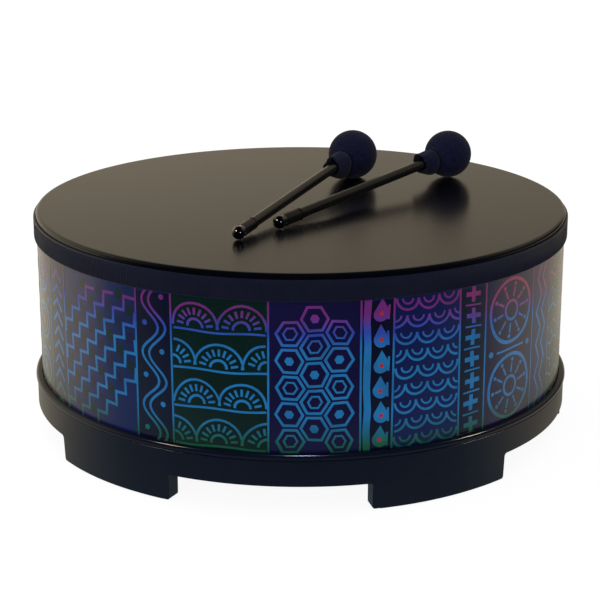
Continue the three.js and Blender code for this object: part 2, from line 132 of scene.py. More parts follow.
class DrumColours(bpy.types.PropertyGroup):
    suede: colour("Suede film", "Coat of the playing face", "#090a10")
    collar: colour("Collar", "Bare film round the head's edge", "#04050a")
    hoop: colour("Hoop", "Ribbed hoop", "#14172c")
    ground: colour("Sleeve ground", "Darkest colour of the print", "#080a26")
    panel_blue: colour("Blue panel", "Blue fields of the print", "#07144a")
    panel_green: colour("Green panel", "Green fields of the print", "#041f1c")
    panel_violet: colour("Violet panel", "Violet fields of the print", "#0f0b38")
    ink_top: colour("Ink at the top", "Printed lines under the hoop", "#6c2274")
    ink_high: colour("Ink above the middle", "Printed lines above the middle", "#2842a6")
    ink_middle: colour("Ink at the middle", "Printed lines at mid height", "#1570ae")
    ink_bottom: colour("Ink at the bottom", "Printed lines above the ring", "#10583a")
    ink_spark: colour("Accent ink", "Small red accents", "#a02430")
    ring: colour("Base ring", "Moulded ring and feet", "#0b0f1f")
    rubber: colour("Rubber", "Pads and elastic", "#101012")
    steel: colour("Steel", "Band of the head", "#8d9094")
    fibre: colour("Fibreboard", "Inside of the shell", "#6b5238")
    shaft: colour("Shaft", "Mallet shafts", "#0c0c0e")
    gloss: colour("End ball", "Polished end ball", "#030307")
    cloth: colour("Cloth", "Knitted cover of a mallet's head", "#13152c")
    floor: colour("Floor", "Floor and backdrop", "#ffffff")
    warm_wall: colour("Warm wall", "What gloss shows low behind the drum", "#decfb5")
    # Tones of the floor's painted reflection, which gloss sees in place of its white; the dark room is also
    # the world's light
    warm_floor: colour("Warm floor", "What gloss shows of the floor behind and beside the drum", "#cec5b0")
    cool_floor: colour("Cool floor", "What gloss shows of the floor in front of the drum", "#6a7d85")
    dark_room: colour("Dark room", "What gloss shows from above and in front", "#12151e")


# Material building

class Value:
    """A socket that Python's operators and ramp work on."""

    def __init__(self, paint, socket):
        self.paint = paint
        self.socket = socket

    def math(self, operation, *numbers):
        inputs = dict(enumerate(numbers))
        return self.paint.node("ShaderNodeMath", {"operation": operation}, inputs)

    def __add__(self, other):
        return self.math("ADD", self, other)

    def __sub__(self, other):
        return self.math("SUBTRACT", self, other)

    def __rsub__(self, other):
        return self.math("SUBTRACT", other, self)

    def __mul__(self, other):
        return self.math("MULTIPLY", self, other)

    __radd__ = __add__
    __rmul__ = __mul__

    def ramp(self, low, high, start=0.0, end=1.0):
        """Goes smoothly from start to end as the value goes from low to high."""
        return self.paint.node(
            "ShaderNodeMapRange", {"interpolation_type": "SMOOTHSTEP"},
            {0: self, 1: low, 2: high, 3: start, 4: end})


class Nodes:
    """A node tree that is written as expressions."""

    def __init__(self, tree):
        self.tree = tree

    def node(self, kind, settings, inputs, output=0):
        """Any node: its settings first, then the values or links of its sockets."""
        made = self.tree.nodes.new(kind)
        for key, value in settings.items():
            if key == "stops":
                self.stops(made.color_ramp, value)
            else:
                setattr(made, key, value)
        for key, value in inputs.items():
            self.feed(made.inputs[key], value)
        return Value(self, made.outputs[output])

    def stops(self, ramp, stops):
        for i, (place, tone) in enumerate(stops):
            stop = ramp.elements[i] if i < 2 else ramp.elements.new(place)
            stop.position = place
            stop.color = (*tone, 1)

    def feed(self, socket, value):
        if isinstance(value, Value):
            self.tree.links.new(value.socket, socket)
        elif socket.type == "RGBA" and len(value) == 3:
            socket.default_value = (*value, 1)
        else:
            socket.default_value = value

    def parts(self, vector):
        """A vector's x, y and z."""
        split = self.node("ShaderNodeSeparateXYZ", {}, {0: vector})
        return [Value(self, output) for output in split.socket.node.outputs]

    def rays(self):
        """One where a camera ray looks, and one where a glossy ray does."""
        outputs = self.node("ShaderNodeLightPath", {}, {}).socket.node.outputs
        return Value(self, outputs["Is Camera Ray"]), Value(self, outputs["Is Glossy Ray"])

    def mix(self, factor, first, second):
        return self.node("ShaderNodeMix", {"data_type": "RGBA"}, {0: factor, 6: first, 7: second}, 2)


class Paint(Nodes):
    """A material on the piece's own coordinates."""

    def __init__(self, name, **fixed):
        self.material = bpy.data.materials.new(name)
        self.material.use_nodes = True
        super().__init__(self.material.node_tree)
        self.shader = self.tree.nodes["Principled BSDF"]
        for key, value in fixed.items():
            self.set(key.replace("_", " ").title().replace("Ior", "IOR"), value)
        self.where = self.node("ShaderNodeTexCoord", {}, {}, "Object")
        self.x, self.y, self.z = self.parts(self.where)

    def set(self, name, value):
        self.feed(self.shader.inputs[name], value)

    def mottle(self, factor, tone, dark, light):
        """A base colour between a darker and a lighter shade of one tone."""
        self.set("Base Color", self.mix(factor, shade(tone, dark), shade(tone, light)))

    def noise(self, scale, detail=3.0, roughness=0.55, vector=None):
        return self.node(
            "ShaderNodeTexNoise", {},
            {"Vector": vector or self.where, "Scale": scale, "Detail": detail, "Roughness": roughness})

    def stretched(self, x, y, z):
        """The piece's coordinates, scaled apart along each axis."""
        return self.node("ShaderNodeMapping", {}, {0: self.where, "Scale": (x, y, z)})

    def bump(self, height, strength, distance):
        normal = self.node(
            "ShaderNodeBump", {},
            {"Strength": strength, "Distance": distance, "Height": height})
        self.set("Normal", normal)


def shade(tone, factor):
    return tuple(min(1.0, part * factor) for part in tone)


# Modelling

def deselect():
    if bpy.context.object and bpy.context.object.mode != "OBJECT":
        bpy.ops.object.mode_set(mode="OBJECT")
    bpy.ops.object.select_all(action="DESELECT")


def activate(piece):
    deselect()
    piece.select_set(True)
    bpy.context.view_layer.objects.active = piece


def edit(piece):
    """Opens a piece in edit mode with all of it chosen."""
    activate(piece)
    bpy.ops.object.mode_set(mode="EDIT")
    bpy.ops.mesh.select_mode(type="VERT")
    bpy.ops.mesh.select_all(action="SELECT")


def extrude(x, y, z):
    bpy.ops.mesh.extrude_region_move(TRANSFORM_OT_translate={"value": (x, y, z)})


def apply_place():
    """Puts the active piece's place, turn and scale in its mesh."""
    bpy.ops.object.transform_apply(location=True, rotation=True, scale=True)


def settle(piece, angle=30):
    """Closes a piece's mesh, turns its faces outwards and puts its place in its mesh."""
    edit(piece)
    bpy.ops.mesh.remove_doubles(threshold=MERGE_DISTANCE)
    bpy.ops.mesh.normals_make_consistent(inside=False)
    bpy.ops.object.mode_set(mode="OBJECT")
    apply_place()
    bpy.ops.object.shade_smooth_by_angle(angle=math.radians(angle))


def turned(name, profile, sides=360, open_end=False):
    """Turns (radius, height) points about +Z, drawing a circle out loop by loop.
    A profile that starts on the axis is a solid and ends there too; any other is a ring.
    One with an open end is a sheet."""
    solid = profile[0][0] == 0
    path = profile[1:] if solid else [*profile, profile[0]]
    if open_end:
        path = profile
    deselect()
    radius, height = path[0]
    bpy.ops.mesh.primitive_circle_add(vertices=sides, radius=radius, location=(0, 0, height))
    piece = bpy.context.object
    piece.name = piece.data.name = name
    edit(piece)
    for (r0, z0), (r1, z1) in zip(path, path[1:]):
        draw_out(r0, r1, z1 - z0)
    if solid:
        bpy.ops.object.mode_set(mode="OBJECT")
        for vertex in piece.data.vertices:
            vertex.select = vertex.index < sides
        bpy.ops.object.mode_set(mode="EDIT")
        draw_out(radius, 0, profile[0][1] - height)
    settle(piece)
    return piece


def fix_order(piece, angle=30):
    """Lists a piece's corners and faces in a fixed order. The order that turning leaves varies
    from run to run, and so would the result of a cloth simulation."""
    mesh, digits = piece.data, 7
    layers = [layer.name for layer in mesh.uv_layers]
    places = [tuple(round(part, digits) + 0.0 for part in vertex.co) for vertex in mesh.vertices]
    order = sorted(range(len(places)), key=lambda index: places[index])
    rank = {index: place for place, index in enumerate(order)}
    faces = []
    for polygon in mesh.polygons:
        loop = [rank[index] for index in polygon.vertices]
        first = loop.index(min(loop))
        faces.append(loop[first:] + loop[:first])
    mesh.clear_geometry()
    mesh.from_pydata([places[index] for index in order], [], sorted(faces), shade_flat=False)
    for layer in layers:
        mesh.uv_layers.new(name=layer, do_init=False)
    activate(piece)
    bpy.ops.object.shade_smooth_by_angle(angle=math.radians(angle))


def draw_out(radius, new_radius, rise):
    """Draws a loop out to its next radius and height, or to a point on the axis."""
    extrude(0, 0, rise)
    if new_radius == 0:
        bpy.ops.mesh.merge(type="CENTER")
    elif new_radius != radius:
        ratio = new_radius / radius
        bpy.ops.transform.resize(value=(ratio, ratio, 1), center_override=(0, 0, 0))


def smooth(value, low, high):
    """Goes smoothly from 0 to 1 as the value goes from low to high."""
    share = min(1.0, max(0.0, (value - low) / (high - low)))
    return share * share * (3 - 2 * share)


def apart(angle, degrees):
    """How far an angle is from a direction, in radians."""
    return math.remainder(angle - math.radians(degrees), 2 * math.pi)


def arc(r, z, radius, start, end, steps=12):
    """Points along an arc; 0 degrees is outwards and 90 is up."""
    angles = [math.radians(start + (end - start) * i / steps) for i in range(steps + 1)]
    return [(r + radius * math.cos(a), z + radius * math.sin(a)) for a in angles]


def curl(piece, radius, turn=0.0):
    """Lays a flat piece round the drum: its x runs along the given radius, and -y is outwards."""
    for vertex in piece.data.vertices:
        angle = vertex.co.x / radius + turn
        reach = -vertex.co.y
        vertex.co = (reach * math.sin(angle), -reach * math.cos(angle), vertex.co.z)


def apply_modifier(piece, kind, **settings):
    activate(piece)
    modifier = piece.modifiers.new(kind.title(), kind)
    for key, value in settings.items():
        setattr(modifier, key, value)
    bpy.ops.object.modifier_apply(modifier=modifier.name)


def eased(piece, width, segments=2, angle=50):
    """Rounds a piece's sharp edges."""
    apply_modifier(
        piece, "BEVEL", width=width, segments=segments, limit_method="ANGLE",
        angle_limit=math.radians(angle))


def repeated(piece, count):
    """The piece and copies of it, each with its own mesh."""
    pieces = [piece]
    for _ in range(count - 1):
        twin = piece.copy()
        twin.data = piece.data.copy()
        piece.users_collection[0].objects.link(twin)
        pieces.append(twin)
    return pieces


def joined(name, pieces):
    activate(pieces[0])
    for piece in pieces:
        piece.select_set(True)
    bpy.ops.object.join()
    piece = bpy.context.object
    piece.name = piece.data.name = name
    return piece


def finished(piece, material, slot, body="drum", replaced=()):
    piece.data.materials.clear()
    piece.data.materials.append(material)
    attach(piece, body)
    if replaced:
        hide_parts(*replaced)


def dressed(node, material):
    """Gives a carried-over CAD node its material."""
    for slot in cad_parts[node].material_slots:
        slot.material = material


# Finishes

INK_LOW = 62
INK_HIGH = 209
INK_WASH = (0.008, 0.02, 0.07)


def suede_paint(colours, sizes):
    """A fine suede coat that ends short of the bend, where the bare film is smoother."""
    paint = Paint("suede_film", Ior=1.45)
    fine = paint.noise(1400, 2)
    cloud = paint.noise(9, 2)
    face = paint.mix(cloud.ramp(0.3, 0.7), shade(colours.suede, 0.8), shade(colours.suede, 1.2))
    edge = paint.z.ramp(sizes.head_height - 1.6 * MM, sizes.head_height - 0.5 * MM)
    paint.set("Base Color", paint.mix(edge, tuple(colours.collar), face))
    paint.set("Roughness", cloud.ramp(0.3, 0.7, 0.195, 0.205) * edge + 0.18 * (1 - edge))
    paint.bump(fine * edge, 0.15, 0.0001)
    return paint.material


def moulded_paint(name, tone, rough, grain=900):
    """Moulded plastic, rubber or foam with a fine grain."""
    paint = Paint(name, Ior=1.4)
    cloud = paint.noise(30, 4)
    paint.mottle(cloud, tone, 0.8, 1.2)
    paint.set("Roughness", cloud.ramp(0.2, 0.8, rough - 0.05, rough + 0.05))
    paint.bump(paint.noise(grain, 2), 0.2, 0.0002)
    return paint.material


def ring_paint(colours, sizes):
    """Moulded plastic that is glossier along the bead, where the sleeve rests in it."""
    paint = Paint("ring_black", Ior=1.42)
    cloud = paint.noise(30, 4)
    paint.mottle(cloud, colours.ring, 0.85, 1.15)
    bead = paint.z.ramp(sizes.ring_high - 5 * MM, sizes.ring_high - 3 * MM)
    paint.set("Roughness", cloud.ramp(0.2, 0.8, 0.25, 0.31) * (1 - bead) + 0.14 * bead)
    paint.bump(paint.noise(900, 2) * (1 - bead), 0.2, 0.0002)
    return paint.material


def laminate_paint(name):
    """A printed sheet under a clear gloss laminate."""
    return Paint(name, Roughness=0.5, Ior=1.15, Coat_Weight=1.0, Coat_Roughness=0.19, Coat_Ior=1.6)


def panel_paint(name, tone):
    """An evenly printed field."""
    paint = laminate_paint(name)
    paint.mottle(paint.noise(22, 3), tone, 0.75, 1.25)
    return paint.material


def ink_paint(colours):
    """Ink whose colour changes with height, and is redder at the top of one side."""
    paint = laminate_paint("print_ink")
    height = paint.node("ShaderNodeMapRange", {}, {0: paint.z, 1: INK_LOW * MM, 2: INK_HIGH * MM})
    drift = height + (paint.noise(6, 2) - 0.5) * 0.12
    ramp = paint.node(
        "ShaderNodeValToRGB",
        {"stops": [
            (0.03, tuple(colours.ink_bottom)),
            (0.22, tuple(colours.ink_middle)),
            (0.66, tuple(colours.ink_middle)),
            (0.80, tuple(colours.ink_high)),
            (0.92, tuple(colours.ink_top)),
        ]},
        {0: drift})
    warm = paint.x.ramp(0.10, 0.24) * height.ramp(0.7, 0.85)
    tone = paint.mix(warm * 0.7, ramp, tuple(colours.ink_spark))
    wash = paint.noise(40, 3)
    paint.set("Base Color", paint.mix(wash.ramp(0.3, 0.8) * 0.35, tone, INK_WASH))
    return paint.material


def fibre_paint(colours):
    """Pressed fibreboard in thin layers."""
    paint = Paint("fibreboard", Roughness=0.85)
    layers = paint.noise(30, 5, 0.65, paint.stretched(1, 1, 26))
    paint.mottle(layers.ramp(0.3, 0.7), colours.fibre, 0.7, 1.25)
    paint.bump(layers, 0.4, 0.0005)
    return paint.material


def metal_paint(name, tone, rough):
    """Drawn metal, streaked round the drum."""
    paint = Paint(name, Metallic=1.0)
    streak = paint.noise(60, 3, 0.6, paint.stretched(1, 1, 30))
    paint.mottle(streak, tone, 0.8, 1.1)
    paint.set("Roughness", streak.ramp(0.2, 0.8, rough - 0.06, rough + 0.08))
    return paint.material


def cloth_paint(colours):
    """A close knitted cloth with a short nap."""
    paint = Paint("knitted_cloth", Roughness=0.95, Ior=1.2, Sheen_Weight=0.06, Sheen_Roughness=0.5)
    weave = paint.noise(1500, 2, 0.7)
    nap = paint.noise(260, 4, 0.6)
    paint.mottle(nap.ramp(0.3, 0.7), colours.cloth, 0.75, 1.35)
    paint.bump(weave * 0.6 + nap, 0.5, 0.0005)
    return paint.material


def gloss_paint(name, tone, rough, coat):
    """Lacquered or polished plastic."""
    paint = Paint(name, Ior=1.4, Coat_Weight=coat, Coat_Roughness=0.04)
    cloud = paint.noise(120, 3)
    paint.mottle(cloud, tone, 0.8, 1.3)
    paint.set("Roughness", cloud.ramp(0.2, 0.8, rough, rough * 1.3))
    return paint.material


# The print: flat shapes in millimetres, along and up the sleeve

PRINT_LOW = 58
PRINT_HIGH = 211
PERIOD = 877.8
STEP = 6
ROW = 24


class Artwork:
    """Flat shapes sorted by ink, each cut into pieces that can follow the sleeve's bend."""

    def __init__(self):
        self.faces = {}

    def hand(self, point):
        """The slight waver of a drawn line."""
        u, v = point
        return (u + 0.7 * math.sin(v / 9 + u / 23), v + 0.7 * math.sin(u / 11 + v / 31))

    def face(self, ink, points):
        self.faces.setdefault(ink, []).append([self.hand(p) for p in points])

    def fill(self, ink, points):
        """A convex shape, cut along the sleeve into columns."""
        left = min(u for u, v in points)
        right = max(u for u, v in points)
        columns = max(1, math.ceil((right - left) / STEP))
        edges = [left + (right - left) * i / columns for i in range(columns + 1)]
        for a, b in zip(edges, edges[1:]):
            column = clipped(clipped(points, a, 1), b, -1)
            if len(column) > 2:
                self.face(ink, column)

    def block(self, ink, left, low, right, high):
        """A rectangle, cut into rows that can waver."""
        rows = max(1, math.ceil((high - low) / ROW))
        for i in range(rows):
            a = low + (high - low) * i / rows
            b = low + (high - low) * (i + 1) / rows
            self.fill(ink, [(left, a), (right, a), (right, b), (left, b)])

    def disc(self, ink, u, v, radius, sides=14):
        self.fill(ink, circle(u, v, radius, sides))

    def ring(self, ink, u, v, radius, width, sides=28):
        self.line(ink, circle(u, v, radius, sides), width, True)

    def spoke(self, u, v, angle, inner, outer, width=2.4):
        """A short line that points at a centre."""
        a, b = math.cos(angle), math.sin(angle)
        self.line("line", [(u + a * inner, v + b * inner), (u + a * outer, v + b * outer)], width)

    def line(self, ink, points, width, closed=False):
        """A line with mitred corners."""
        count = len(points)
        pairs = []
        for i, (u, v) in enumerate(points):
            before = points[i - 1] if i or closed else None
            after = points[(i + 1) % count] if i < count - 1 or closed else None
            pairs.append(mitre(before, (u, v), after, width / 2))
        last = count if closed else count - 1
        for i in range(last):
            (a, b), (c, d) = pairs[i], pairs[(i + 1) % count]
            parts = max(1, math.ceil(abs(points[i][0] - points[(i + 1) % count][0]) / STEP))
            for k in range(parts):
                s, t = k / parts, (k + 1) / parts
                self.face(ink, [between(a, c, s), between(a, c, t), between(b, d, t), between(b, d, s)])


def between(a, b, t):
    return (a[0] + (b[0] - a[0]) * t, a[1] + (b[1] - a[1]) * t)


def clipped(points, edge, side):
    """The part of a convex shape on one side of an upright line."""
    kept = []
    for (u0, v0), (u1, v1) in zip(points, points[1:] + points[:1]):
        inside, following = (u0 - edge) * side >= 0, (u1 - edge) * side >= 0
        if inside:
            kept.append((u0, v0))
        if inside != following:
            t = (edge - u0) / (u1 - u0)
            kept.append((edge, v0 + (v1 - v0) * t))
    return kept


def mitre(before, point, after, half):
    """The two edge points of a line at one of its points."""
    ways = []
    for a, b in ((before, point), (point, after)):
        if a is not None and b is not None:
            way = Vector((b[0] - a[0], b[1] - a[1]))
            ways.append(way.normalized())
    first, last = ways[0], ways[-1]
    middle = (first + last).normalized() if (first + last).length > 1e-6 else first
    normal = Vector((-middle.y, middle.x))
    reach = half / max(0.4, normal.dot(Vector((-first.y, first.x))))
    u, v = point
    return ((u + normal.x * reach, v + normal.y * reach), (u - normal.x * reach, v - normal.y * reach))


def circle(u, v, radius, sides):
    angles = [2 * math.pi * i / sides for i in range(sides)]
    return [(u + radius * math.cos(a), v + radius * math.sin(a)) for a in angles]


# Motifs, each drawn between a left and a right edge

def vines(art, left, right):
    middle = (left + right) / 2
    stem = [(middle + 3 * math.sin(v / 15), v) for v in range(PRINT_LOW, PRINT_HIGH + 1, 5)]
    art.line("line", stem, 2.4)
    reach = (right - left) / 2 - 5
    for v in range(PRINT_LOW + 2, PRINT_HIGH - 20, 25):
        for side, rise in ((-1, 0), (1, 12)):
            base = Vector((middle + 3 * side, v + rise))
            tip = Vector((middle + reach * side, v + rise + 17))
            way = tip - base
            across = Vector((-way.y, way.x)).normalized() * 5.5
            upper = [base + way * t + across * math.sin(math.pi * t) for t in (0, 0.2, 0.4, 0.6, 0.8)]
            lower = [base + way * t - across * math.sin(math.pi * t) for t in (1, 0.8, 0.6, 0.4, 0.2)]
            art.line("line", [tuple(p) for p in upper + lower], 2.0, True)
            art.line("line", [tuple(base + way * 0.2), tuple(base + way * 0.75)], 1.5)


def roundels(art, left, right):
    middle, size = (left + right) / 2, (right - left) / 2 - 6
    for i in range(3):
        v = PRINT_LOW + 27 + 50 * i
        art.ring("line", middle, v, size - 3, 4.2, 36)
        art.ring("line", middle, v, size * 0.56, 2.4)
        art.disc("spark" if i == 1 else "line", middle, v, size * 0.24)
    for i in range(4):
        for side in (left + 8, right - 8):
            art.disc("line", side, PRINT_LOW + 2 + 50 * i, 3.2)


def chevrons(art, left, right):
    middle = (left + right) / 2
    for v in range(PRINT_LOW - 4, PRINT_HIGH - 12, 15):
        art.line("line", [(left + 5, v), (middle, v + 11), (right - 5, v)], 3.4)


def terraces(art, left, right):
    tread = (right - left) / 8
    for start in range(-4, 7, 2):
        points = []
        for k in range(9):
            u, v = left + tread * k, PRINT_LOW + 14 * (start + k)
            points += [(u, v), (u, v + 14)]
        points = [p for p in points if PRINT_LOW <= p[1] <= PRINT_HIGH]
        if len(points) > 2:
            art.line("line", points, 3.0)
        for k in range(8):
            u, v = left + tread * (k + 0.5), PRINT_LOW + 14 * (start + k + 2)
            if PRINT_LOW < v < PRINT_HIGH - 8:
                art.block("green" if (k + start // 2) % 2 else "violet", u - 4, v - 4, u + 4, v + 6)


def waves(art, left, right):
    middle, swing = (left + right) / 2, (right - left) / 2 - 9
    for offset in (-4, 4):
        heights = range(PRINT_LOW, PRINT_HIGH + 1, 3)
        art.line("line", [(middle + offset + swing * math.sin(v / 8.5), v) for v in heights], 2.6)
    for k in range(6):
        side = 1 if k % 2 else -1
        art.disc("line", middle + side * (swing + 1), PRINT_LOW + 13 + 26.7 * k, 2.8)


def suns(art, left, right):
    width = (right - left) / 2
    for row in range(4):
        v = PRINT_LOW + 8 + 38 * row
        for k in range(2 if row % 2 else 3):
            u = left + width * (k + (0.5 if row % 2 else 0))
            start = 90 if u > right - 1 else 0
            end = 90 if u < left + 1 else 180
            art.line("line", arc(u, v, 8, start, end, 8), 2.6)
            for angle in range(start + 10, end, 20):
                art.spoke(u, v, math.radians(angle), 12, 19)
            art.line("line", arc(u, v, 23.5, start, end, 14), 2.4)
        art.line("line", [(left, v - 3.4), (right, v - 3.4)], 2.2)


def hexes(art, left, right):
    size = 15.5
    across, up = size * 1.5, size * math.sqrt(3)
    columns = int((right - left - 2 * size) / across) + 1
    margin = (right - left - 2 * size - across * (columns - 1)) / 2
    for column in range(columns):
        u = left + margin + size + across * column
        for row in range(6):
            v = PRINT_LOW + 14 + up * row + (up / 2 if column % 2 else 0)
            if v + up / 2 < PRINT_HIGH + 2:
                art.line("line", circle(u, v, size - 2.6, 6), 2.6, True)
                if (row + column) % 2:
                    art.fill("line", circle(u, v, 4.6, 6))
                else:
                    art.line("line", circle(u, v, 6.4, 6), 1.8, True)


def drops(art, left, right):
    art.block("line", left + 1, PRINT_LOW, left + 8, PRINT_HIGH)
    middle = (left + right) / 2 + 4
    for v in range(PRINT_LOW + 12, PRINT_HIGH, 25):
        art.fill("line", arc(middle, v, 7.5, 160, 380, 14) + [(middle, v + 15)])
        art.disc("spark", middle, v, 2.2, 8)
        art.line("line", [(right - 3, v - 6), (right - 3, v + 8)], 2.2)


def scales(art, left, right):
    count = 3
    pitch = (right - left) / count
    for row in range(9):
        v = PRINT_LOW + 14 + 17 * row
        for k in range(count + (row % 2)):
            u = left + pitch * (k + (0 if row % 2 else 0.5))
            start = 270 if u < left + 1 else 180
            end = 270 if u > right - 1 else 360
            art.line("line", arc(u, v, pitch / 2, start, end), 2.4)
            art.line("line", arc(u, v, pitch / 4.2, start, end, 8), 1.9)


def plusses(art, left, right):
    middle = (left + right) / 2
    for v in range(PRINT_LOW + 12, PRINT_HIGH - 6, 22):
        art.line("line", [(middle - 9, v), (middle + 9, v)], 4.6)
        art.line("line", [(middle, v - 8), (middle, v + 8)], 4.6)
        art.line("line", [(left + 4, v + 11), (right - 4, v + 11)], 1.8)


def wheels(art, left, right):
    middle, size, between_wheels = (left + right) / 2, (right - left) / 2 - 5, PRINT_LOW + 77
    for v in (PRINT_LOW + 39, PRINT_LOW + 116):
        art.ring("line", middle, v, size, 3.6, 40)
        art.ring("line", middle, v, size * 0.3, 3)
        for k in range(10):
            angle = math.radians(36 * k + 9)
            art.spoke(middle, v, angle, size * 0.42, size * 0.72)
            dot = size * 0.82
            art.disc("line", middle + math.cos(angle) * dot, v + math.sin(angle) * dot, 2.2, 8)
    for u in (left + 8, right - 8):
        art.disc("line", u, between_wheels, 3.2)
    art.line("line", [(left + 16, between_wheels), (right - 16, between_wheels)], 2.2)


def bolts(art, left, right):
    third = (right - left) / 3
    heights = range(PRINT_LOW, PRINT_HIGH + 1, 17)
    for k in range(2):
        u = left + third * (k + 0.6)
        art.line("line", [(u + (third * 0.8 if i % 2 else 0), v) for i, v in enumerate(heights)], 3.0)


def ripples(art, left, right):
    steps = int((right - left) / 4)
    for row in range(9):
        v = PRINT_LOW + 6 + 18 * row
        points = [
            (left + (right - left) * i / steps, v + 3.2 * math.sin(i * 0.9 + row))
            for i in range(steps + 1)]
        art.line("line", points, 2.8 if row % 2 else 1.8)
        if row % 2:
            for u in range(int(left) + 12, int(right) - 6, 26):
                art.disc("line", u, v + 9, 2.6, 10)


PANELS = [
    ("ground", vines, 64),
    ("green", roundels, 60),
    ("violet", chevrons, 37),
    ("blue", terraces, 112),
    ("ground", waves, 40),
    ("green", suns, 96),
    ("violet", hexes, 86),
    ("ground", drops, 32),
    ("blue", scales, 72),
    ("ground", plusses, 32),
    ("violet", wheels, 78),
    ("blue", bolts, 40),
    ("green", ripples, 128.8),
]


def drawn():
    """One period of the print on each half of the sleeve."""
    art = Artwork()
    for half in (0, 1):
        left = -PERIOD / 2 + PERIOD * half
        for field, motif, width in PANELS:
            right = left + width
            if field != "ground":
                art.block(field, left + 1, PRINT_LOW, right - 1, PRINT_HIGH)
            motif(art, left + 2, right - 2)
            art.line("line", [(left, PRINT_LOW), (left, PRINT_HIGH)], 2.0)
            left = right
    edge = PRINT_HIGH - 2.2
    art.line("blue", [(-PERIOD / 2 + PERIOD * i / 40, edge) for i in range(81)], 1.8)
    return art


# The drum's pieces

class Piece:
    """What the drum's operators share."""

    bl_options = {"REGISTER", "UNDO"}

    def execute(self, context):
        self.build(context.scene.drum_sizes, context.scene.drum_colours)
        return {"FINISHED"}


class DRUM_OT_head(Piece, bpy.types.Operator):
    """Build the head film: a flat face, a tight shoulder and a bare glossy collar"""

    bl_idname = "drum.head"
    bl_label = "Head film"

    def build(self, sizes, colours):
        top, outer, bend = sizes.head_height, sizes.head_radius, sizes.head_shoulder
        film = 0.8 * MM
        collar_low = sizes.hoop_low + 3.2 * MM
        face = [(outer - bend - step * MM, top) for step in (2, 60, 120, 180)]
        profile = [
            (0, top - film),
            *arc(outer - bend, top - bend, bend - film, 90, 0, 8),
            (outer - film, collar_low),
            (outer, collar_low),
            *arc(outer - bend, top - bend, bend, 0, 90, 10),
            *face,
            (0, top),
        ]
        film_piece = turned("head_film", profile)
        finished(film_piece, suede_paint(colours, sizes), "suede_film", replaced=["drumhead"])


class DRUM_OT_hoop(Piece, bpy.types.Operator):
    """Build the hoop with its upright ribs"""

    bl_idname = "drum.hoop"
    bl_label = "Ribbed hoop"

    def build(self, sizes, colours):
        outer, low, high = sizes.hoop_radius, sizes.hoop_low, sizes.hoop_high
        inner = sizes.head_radius + CLEARANCE
        profile = [
            (inner, low),
            (outer - 0.9 * MM, low),
            (outer - 0.3 * MM, low + 0.2 * MM),
            (outer - 0.05 * MM, low + 0.7 * MM),
            (outer, low + 1.0 * MM),
            (outer, low + 1.3 * MM),
            (outer, high - 1.6 * MM),
            (outer, high - 1.2 * MM),
            *arc(outer - 0.8 * MM, high - 0.8 * MM, 0.8 * MM, 0, 90, 4),
            (inner, high),
        ]
        sides = sizes.rib_count * 4
        hoop = turned("hoop_ribs", profile, sides)
        groove_low, groove_high = low + 1.2 * MM, high - 1.5 * MM
        for vertex in hoop.data.vertices:
            angle = math.atan2(vertex.co.y, vertex.co.x) % (2 * math.pi)
            step = round(angle / (2 * math.pi) * sides)
            radius = math.hypot(vertex.co.x, vertex.co.y)
            if radius > outer - 0.01 * MM and groove_low < vertex.co.z < groove_high and step % 4 in (2, 3):
                vertex.co.x *= 1 - sizes.rib_depth / radius
                vertex.co.y *= 1 - sizes.rib_depth / radius
        material = moulded_paint("hoop_black", colours.hoop, 0.37)
        finished(hoop, material, "hoop_plastic", replaced=["ribbed_hoop"])


class DRUM_OT_sleeve(Piece, bpy.types.Operator):
    """Build the sleeve and the layers of its print"""

    bl_idname = "drum.sleeve"
    bl_label = "Printed sleeve"

    def build(self, sizes, colours):
        outer, wall = sizes.sleeve_radius, 0.5 * MM
        low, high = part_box("printed_sleeve")
        inner = outer - wall
        profile = [(inner, low.z), (outer, low.z), (outer, high.z), (inner, high.z)]
        sheet = turned("sleeve_sheet", profile)
        ground = panel_paint("sleeve_ground", colours.ground)
        finished(sheet, ground, "printed_laminate", replaced=["printed_sleeve"])
        art = drawn()
        inks = {
            "blue": (panel_paint("print_blue", colours.panel_blue), 0.4),
            "green": (panel_paint("print_green", colours.panel_green), 0.55),
            "violet": (panel_paint("print_violet", colours.panel_violet), 0.5),
            "line": (ink_paint(colours), 1.0),
            "spark": (panel_paint("print_spark", colours.ink_spark), 1.1),
        }
        for ink, (material, share) in inks.items():
            layer = self.layer(f"print_{ink}", art.faces[ink], outer, sizes.print_height * share)
            finished(layer, material, "printed_laminate")

    def layer(self, name, faces, radius, height):
        """One ink's shapes, drawn flat, thickened and laid round the sleeve."""
        mesh = bpy.data.meshes.new(name)
        root = 0.05 * MM
        corners, indices = [], []
        for face in faces:
            start = len(corners)
            corners += [(u * MM, -radius + root, v * MM) for u, v in face]
            indices.append(range(start, len(corners)))
        mesh.from_pydata(corners, [], [list(index) for index in indices])
        piece = bpy.data.objects.new(name, mesh)
        bpy.context.scene.collection.objects.link(piece)
        edit(piece)
        bpy.ops.mesh.remove_doubles(threshold=MERGE_DISTANCE)
        extrude(0, -height - root, 0)
        bpy.ops.object.mode_set(mode="OBJECT")
        curl(piece, radius)
        settle(piece)
        return piece


